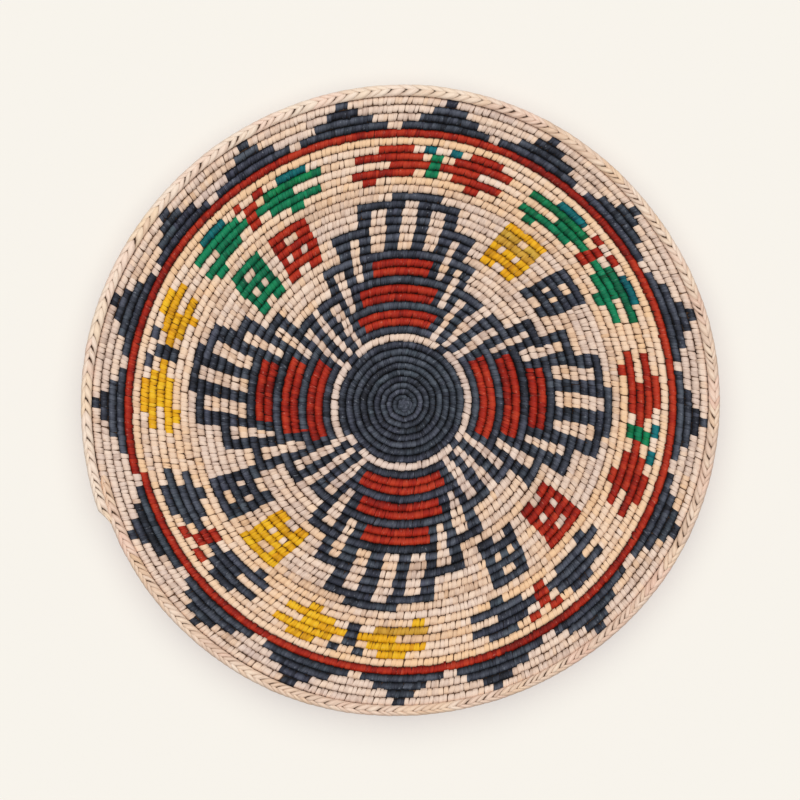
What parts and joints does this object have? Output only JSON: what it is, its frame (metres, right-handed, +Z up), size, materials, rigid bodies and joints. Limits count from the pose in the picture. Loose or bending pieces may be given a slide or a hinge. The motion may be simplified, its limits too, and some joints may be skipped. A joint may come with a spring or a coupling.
{
  "type": "woven wall plate",
  "caption": "Shallow round coiled basket plate with a figured face, a braided rim and a wrapped loop on its back to hang it on a wall.",
  "frame": {"origin": "the middle of the plate's flat back, where it rests against the wall", "axes": "+Y out of the back towards the wall, so the figured face looks along -Y; +Z up as the plate hangs; +X to the right as the face is seen"},
  "size_m": [0.364, 0.0217, 0.356],
  "materials": {
    "natural_leaf": "matt natural leaf strip",
    "rim_leaf": "matt natural leaf strip",
    "navy_leaf": "matt dyed leaf strip",
    "red_leaf": "matt dyed leaf strip",
    "yellow_leaf": "matt dyed leaf strip",
    "green_leaf": "matt dyed leaf strip",
    "grass_bundle": "rough dry grass",
    "fibre_cord": "rough twisted fibre"
  },
  "bodies": {
    "plate": {"grass_bundle": "grass_bundle", "centre_knot": "navy_leaf", "centre_disc_wrap": "navy_leaf", "white_ring_wrap": "natural_leaf", "first_bar_wrap": "red_leaf", "second_bar_wrap": "navy_leaf", "third_bar_wrap": "red_leaf", "house_band_wrap": "natural_leaf", "inner_pale_ring_wrap": "natural_leaf", "butterfly_band_wrap": "natural_leaf", "outer_pale_ring_wrap": "natural_leaf", "red_ring_wrap": "red_leaf", "mountain_band_wrap": "navy_leaf", "rim_braid": "rim_leaf", "loop_stitch_left": "fibre_cord", "loop_stitch_right": "fibre_cord"},
    "hanger": {"hanging_loop": "fibre_cord"}
  },
  "joints": [
    {"name": "hanger_swing", "type": "hinge", "parent": "plate", "child": "hanger", "pos_m": [0, -0.00546, 0.14123], "axis": [-1, 0, 0], "range_deg": [0, 155]}
  ]
}
